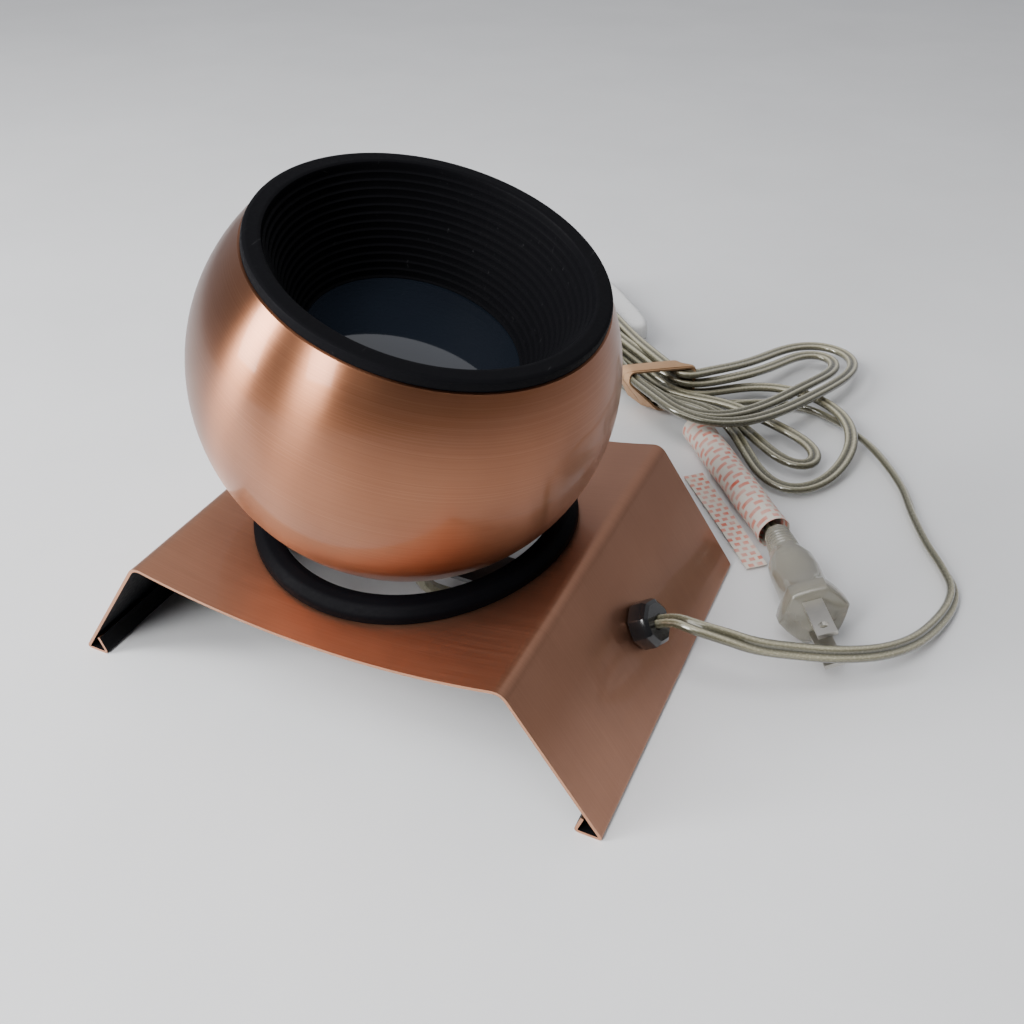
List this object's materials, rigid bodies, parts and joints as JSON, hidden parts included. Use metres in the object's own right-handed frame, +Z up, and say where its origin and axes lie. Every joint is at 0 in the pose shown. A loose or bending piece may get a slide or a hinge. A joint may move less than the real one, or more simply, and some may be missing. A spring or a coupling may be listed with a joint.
{
  "type": "eyeball accent lamp",
  "caption": "Small accent lamp: a copper-plated ball with a stepped black baffle tilts and turns in a black ring on a bent-sheet stand, with a clear corded plug and in-line switch.",
  "frame": {"origin": "on the table under the ball's centre, which is the middle of the stand", "axes": "+Z up, +X towards the leg that the cord leaves by, +Y to the back"},
  "size_m": [0.2609, 0.3293, 0.1476],
  "materials": {
    "copper_plate": "copper-plated sheet steel, brushed in fine lines and lacquered",
    "black_rubber": "matte soft black",
    "black_enamel": "black enamel on steel",
    "bare_steel": "zinc-plated",
    "black_plastic": "glossy black nylon",
    "baffle_black": "satin black",
    "brass_parts": "plain brass",
    "lens_glass": "polished glass disc with a dark blue-grey cast",
    "bulb_white": "frosted bulb glass",
    "porcelain": "unglazed porcelain",
    "clear_vinyl": "clear vinyl with silvery and greenish wires showing through",
    "tan_rubber": "tan rubber band",
    "tag_paper": "coated white paper with faded red bars",
    "blade_metal": "nickel-plated brass, dull",
    "white_plastic": "moulded white plastic"
  },
  "bodies": {
    "stand": {"stand_sheet": "copper_plate", "trim_ring": "black_rubber", "hanger_strap": "black_enamel", "strap_rivet_left": "bare_steel", "strap_rivet_right": "bare_steel", "strain_relief": "black_plastic", "inner_lead": "clear_vinyl", "cord_free": "clear_vinyl", "cord_hank": "clear_vinyl", "cord_tail": "clear_vinyl", "hank_band": "tan_rubber", "tag_sleeve": "tag_paper", "tag_flat": "tag_paper", "plug_body": "clear_vinyl", "plug_blade_near": "blade_metal", "plug_blade_far": "blade_metal", "switch_base": "white_plastic", "switch_cover": "white_plastic"},
    "swivel": {"stem_nipple": "brass_parts", "stem_lead": "clear_vinyl", "swivel_nut": "bare_steel", "swivel_washer_lower": "bare_steel", "swivel_washer_upper": "black_rubber", "outer_saddle": "black_plastic", "inner_saddle": "black_enamel", "saddle_nut": "bare_steel", "lampholder_body": "porcelain", "lampholder_shell": "brass_parts", "lampholder_contact": "brass_parts", "bulb_cap": "brass_parts", "bulb_glass": "bulb_white"},
    "ball": {"ball_shell": "copper_plate"},
    "baffle": {"baffle": "baffle_black", "lens": "lens_glass", "lens_retainer": "bare_steel"},
    "switch_wheel": {"switch_wheel": "white_plastic"}
  },
  "joints": [
    {"name": "ball_swivel", "type": "hinge", "parent": "stand", "child": "swivel", "pos_m": [0, 0, 0.0249], "axis": [0, 0, 1], "range_deg": [-149, 171]},
    {"name": "ball_tilt", "type": "hinge", "parent": "swivel", "child": "ball", "pos_m": [0, 0, 0.0938], "axis": [0.1908, 0.9816, 0], "range_deg": [-18, 22]},
    {"name": "baffle_pull", "type": "slide", "parent": "ball", "child": "baffle", "axis": [0.3033, -0.059, 0.9511], "range_m": [0, 0.045]},
    {"name": "switch_turn", "type": "hinge", "parent": "stand", "child": "switch_wheel", "pos_m": [-0.01523, 0.22632, 0.008], "axis": [0, 0, 1], "continuous": true}
  ]
}
